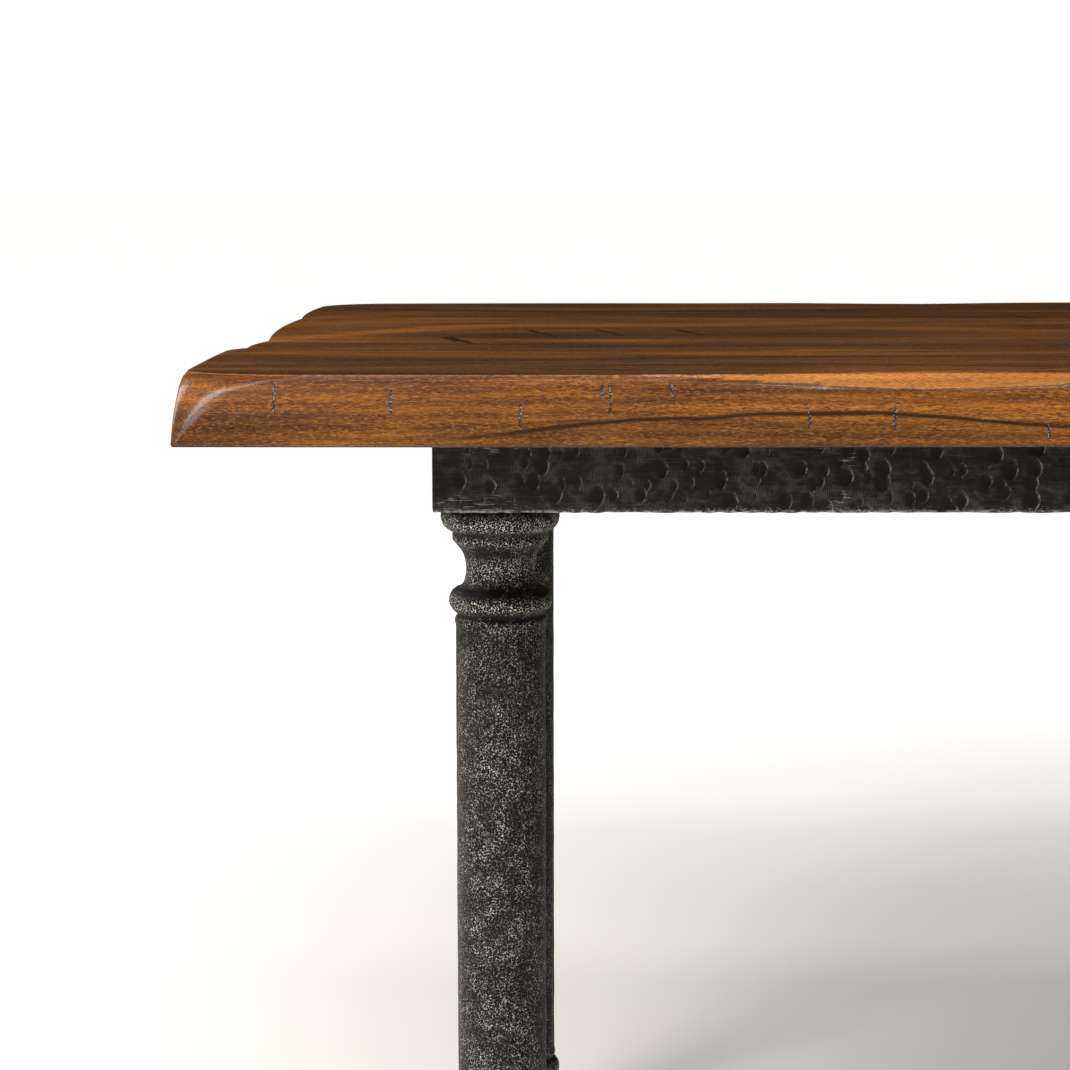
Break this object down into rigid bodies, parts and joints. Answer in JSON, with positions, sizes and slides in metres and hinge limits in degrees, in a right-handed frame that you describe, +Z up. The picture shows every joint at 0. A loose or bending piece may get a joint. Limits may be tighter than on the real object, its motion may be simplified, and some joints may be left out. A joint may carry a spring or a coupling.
{
  "type": "work table",
  "caption": "Table with a thick plank top carved along its wavy edges, a black apron frame and turned cast-iron column legs on screw levelling feet.",
  "frame": {"origin": "on the floor, under the centre of the outline of the top", "axes": "+X along the table's length, +Y towards its back, +Z up; the front faces -Y"},
  "size_m": [1.524, 0.91, 0.762],
  "materials": {
    "walnut_top": "oiled and waxed dark walnut, satin to gloss, streaked grain, saw marks left on the edges",
    "black_wood": "charcoal black paint over hand-gouged wood, rubbed silvery on the ridges",
    "frame_wood": "plain planed hardwood, no finish",
    "leg_iron": "sand-cast, black with a rubbed pewter speckle",
    "zinc_steel": "zinc plated, dull",
    "foot_nylon": "matt black moulded nylon"
  },
  "bodies": {
    "table": {"top_board_1": "walnut_top", "top_board_2": "walnut_top", "top_board_3": "walnut_top", "top_board_4": "walnut_top", "top_board_5": "walnut_top", "apron_front": "black_wood", "apron_back": "black_wood", "apron_left": "black_wood", "apron_right": "black_wood", "cross_rail_left": "frame_wood", "cross_rail_right": "frame_wood", "corner_block_front_left": "frame_wood", "corner_block_front_right": "frame_wood", "corner_block_back_right": "frame_wood", "corner_block_back_left": "frame_wood", "leg_front_left": "leg_iron", "leg_front_right": "leg_iron", "leg_back_right": "leg_iron", "leg_back_left": "leg_iron", "leg_washer_front_left": "zinc_steel", "leg_bolt_front_left": "zinc_steel", "foot_plug_front_left": "zinc_steel", "leg_washer_front_right": "zinc_steel", "leg_bolt_front_right": "zinc_steel", "foot_plug_front_right": "zinc_steel", "leg_washer_back_right": "zinc_steel", "leg_bolt_back_right": "zinc_steel", "foot_plug_back_right": "zinc_steel", "leg_washer_back_left": "zinc_steel", "leg_bolt_back_left": "zinc_steel", "foot_plug_back_left": "zinc_steel", "top_clip_1": "zinc_steel", "top_clip_2": "zinc_steel", "top_clip_3": "zinc_steel", "top_clip_4": "zinc_steel", "top_clip_5": "zinc_steel", "top_clip_6": "zinc_steel", "top_clip_7": "zinc_steel", "top_clip_8": "zinc_steel", "top_clip_screw_1": "zinc_steel", "top_clip_screw_2": "zinc_steel", "top_clip_screw_3": "zinc_steel", "top_clip_screw_4": "zinc_steel", "top_clip_screw_5": "zinc_steel", "top_clip_screw_6": "zinc_steel", "top_clip_screw_7": "zinc_steel", "top_clip_screw_8": "zinc_steel"},
    "pad_front_left": {"foot_pad_front_left": "foot_nylon"},
    "stud_front_left": {"foot_stud_front_left": "zinc_steel"},
    "pad_front_right": {"foot_pad_front_right": "foot_nylon"},
    "stud_front_right": {"foot_stud_front_right": "zinc_steel"},
    "pad_back_right": {"foot_pad_back_right": "foot_nylon"},
    "stud_back_right": {"foot_stud_back_right": "zinc_steel"},
    "pad_back_left": {"foot_pad_back_left": "foot_nylon"},
    "stud_back_left": {"foot_stud_back_left": "zinc_steel"}
  },
  "joints": [
    {"name": "foot_travel_front_left", "type": "slide", "parent": "table", "child": "pad_front_left", "axis": [0, 0, -1], "range_m": [0, 0.012]},
    {"name": "foot_screw_front_left", "type": "hinge", "parent": "pad_front_left", "child": "stud_front_left", "pos_m": [-0.561, -0.254, 0.012], "axis": [0, 0, -1], "range_deg": [0, 2880]},
    {"name": "foot_travel_front_right", "type": "slide", "parent": "table", "child": "pad_front_right", "axis": [0, 0, -1], "range_m": [0, 0.012]},
    {"name": "foot_screw_front_right", "type": "hinge", "parent": "pad_front_right", "child": "stud_front_right", "pos_m": [0.561, -0.254, 0.012], "axis": [0, 0, -1], "range_deg": [0, 2880]},
    {"name": "foot_travel_back_right", "type": "slide", "parent": "table", "child": "pad_back_right", "axis": [0, 0, -1], "range_m": [0, 0.012]},
    {"name": "foot_screw_back_right", "type": "hinge", "parent": "pad_back_right", "child": "stud_back_right", "pos_m": [0.561, 0.254, 0.012], "axis": [0, 0, -1], "range_deg": [0, 2880]},
    {"name": "foot_travel_back_left", "type": "slide", "parent": "table", "child": "pad_back_left", "axis": [0, 0, -1], "range_m": [0, 0.012]},
    {"name": "foot_screw_back_left", "type": "hinge", "parent": "pad_back_left", "child": "stud_back_left", "pos_m": [-0.561, 0.254, 0.012], "axis": [0, 0, -1], "range_deg": [0, 2880]}
  ],
  "couplings": [
    {"joint": "foot_screw_front_left", "follows": "foot_travel_front_left", "rad_per_m": 4188.8},
    {"joint": "foot_screw_front_right", "follows": "foot_travel_front_right", "rad_per_m": 4188.8},
    {"joint": "foot_screw_back_right", "follows": "foot_travel_back_right", "rad_per_m": 4188.8},
    {"joint": "foot_screw_back_left", "follows": "foot_travel_back_left", "rad_per_m": 4188.8}
  ]
}
